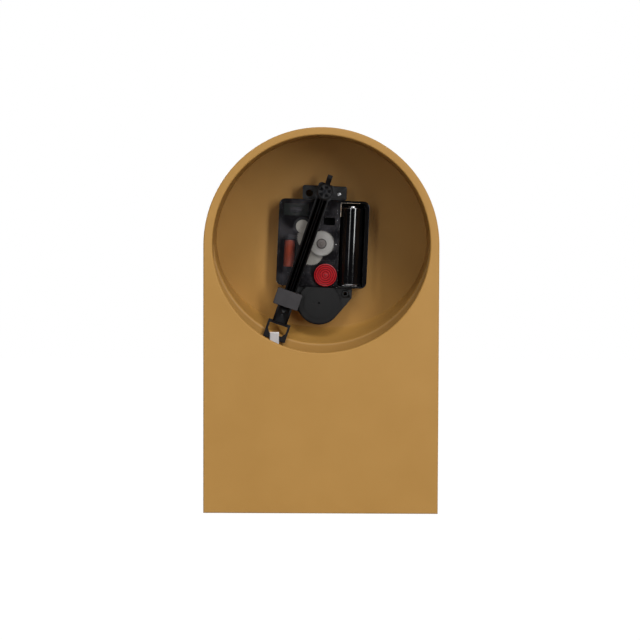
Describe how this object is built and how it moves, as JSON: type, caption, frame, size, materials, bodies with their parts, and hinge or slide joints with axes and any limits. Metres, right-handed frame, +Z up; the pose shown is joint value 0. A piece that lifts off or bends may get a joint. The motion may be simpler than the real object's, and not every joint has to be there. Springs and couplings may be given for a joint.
{
  "type": "beehive shelf clock",
  "caption": "Round-topped shelf clock in a painted sheet steel case with an open back, a quartz movement and a swinging pendulum behind a window.",
  "frame": {"origin": "middle of the base, on the surface that the clock stands on", "axes": "+Z up, -Y towards the dial side, +Y towards the open back, +X to the right as seen from the dial side"},
  "size_m": [0.14, 0.075, 0.23],
  "materials": {
    "case_paint": "fine satin powder coat in ochre",
    "dial_marks": "matt black",
    "hand_paint": "matt black paint",
    "brass": "turned",
    "rubber": "soft",
    "black_moulding": "moulded, satin",
    "matt_moulding": "moulded, black and matt",
    "grey_moulding": "moulded, matt",
    "smoked_cover": "smoked clear plastic",
    "white_moulding": "natural acetal",
    "copper_wire": "lacquered copper",
    "steel": "stamped",
    "magnet": "sintered",
    "board": "lacquered board",
    "cell_jacket": "glossy plain jacket",
    "knob_red": "moulded, glossy",
    "rod_strip": "bright strip",
    "bob_metal": "brushed"
  },
  "bodies": {
    "case": {"arch_band": "case_paint", "base_plate": "case_paint", "back_plate": "case_paint", "front_panel": "case_paint", "inner_shelf": "case_paint", "hour_markers": "dial_marks", "hand_nut": "brass", "nut_washer": "brass", "rubber_washer": "rubber", "centre_bush": "brass", "movement_housing": "black_moulding", "middle_plate": "black_moulding", "back_cover": "smoked_cover", "pendulum_frame": "matt_moulding", "drive_coil_cap": "matt_moulding", "drive_coil": "copper_wire", "bracket_rivet": "steel", "pivot_pin": "steel", "stator": "steel", "coil_bobbin": "white_moulding", "coil_winding": "copper_wire", "circuit_board": "board", "quartz_crystal": "steel", "battery": "cell_jacket", "battery_contact_plus": "copper_wire", "battery_contact_minus": "steel"},
    "minute": {"minute_arbor": "brass", "minute_hand": "hand_paint"},
    "hour": {"hour_wheel": "white_moulding", "hour_hand": "hand_paint"},
    "intermediate": {"intermediate_wheel": "white_moulding"},
    "setting": {"set_knob": "knob_red", "setting_shaft": "brass"},
    "reduction": {"reduction_wheel": "white_moulding"},
    "rotor": {"rotor_wheel": "white_moulding", "rotor_magnet": "magnet"},
    "second": {"second_wheel": "white_moulding"},
    "third": {"third_wheel": "white_moulding"},
    "centre": {"centre_wheel": "white_moulding"},
    "pendulum": {"pendulum_arm": "black_moulding", "magnet_box": "grey_moulding", "arm_magnet": "magnet"},
    "rod": {"pendulum_rod": "rod_strip", "bob": "bob_metal", "rating_nut": "brass"}
  },
  "joints": [
    {"name": "minute_hand_turn", "type": "hinge", "parent": "case", "child": "minute", "pos_m": [0, 0, 0.16], "axis": [0, 1, 0], "continuous": true},
    {"name": "hour_hand_turn", "type": "hinge", "parent": "case", "child": "hour", "pos_m": [0, 0, 0.16], "axis": [0, 1, 0], "continuous": true},
    {"name": "intermediate_wheel_turn", "type": "hinge", "parent": "case", "child": "intermediate", "pos_m": [0.00344, 0, 0.15061], "axis": [0, 1, 0], "continuous": true},
    {"name": "set_knob_turn", "type": "hinge", "parent": "case", "child": "setting", "pos_m": [-0.0025, 0, 0.14018], "axis": [0, 1, 0], "continuous": true},
    {"name": "reduction_wheel_turn", "type": "hinge", "parent": "case", "child": "reduction", "pos_m": [0.00855, 0, 0.16351], "axis": [0, 1, 0], "continuous": true},
    {"name": "rotor_turn", "type": "hinge", "parent": "case", "child": "rotor", "pos_m": [0.01219, 0, 0.17108], "axis": [0, 1, 0], "continuous": true},
    {"name": "second_wheel_turn", "type": "hinge", "parent": "case", "child": "second", "pos_m": [0, 0, 0.16], "axis": [0, 1, 0], "continuous": true},
    {"name": "third_wheel_turn", "type": "hinge", "parent": "case", "child": "third", "pos_m": [0.00661, 0, 0.1539], "axis": [0, 1, 0], "continuous": true},
    {"name": "centre_wheel_turn", "type": "hinge", "parent": "case", "child": "centre", "pos_m": [0, 0, 0.16], "axis": [0, 1, 0], "continuous": true},
    {"name": "pendulum_swing", "type": "hinge", "parent": "case", "child": "pendulum", "pos_m": [-0.00197, 0, 0.19295], "axis": [0, 1, 0], "range_deg": [-2, 40]},
    {"name": "rod_hang", "type": "hinge", "parent": "pendulum", "child": "rod", "pos_m": [0.02951, 0, 0.10099], "axis": [0, 1, 0], "range_deg": [-41, 3]}
  ],
  "couplings": [
    {"joint": "intermediate_wheel_turn", "follows": "minute_hand_turn", "ratio": -0.33333},
    {"joint": "hour_hand_turn", "follows": "minute_hand_turn", "ratio": 0.083333},
    {"joint": "set_knob_turn", "follows": "minute_hand_turn", "ratio": 0.55556},
    {"joint": "rotor_turn", "follows": "reduction_wheel_turn", "ratio": -6},
    {"joint": "second_wheel_turn", "follows": "reduction_wheel_turn", "ratio": -0.2},
    {"joint": "third_wheel_turn", "follows": "reduction_wheel_turn", "ratio": 0.033333},
    {"joint": "centre_wheel_turn", "follows": "reduction_wheel_turn", "ratio": -0.0033333},
    {"joint": "rod_hang", "follows": "pendulum_swing", "ratio": -1}
  ]
}
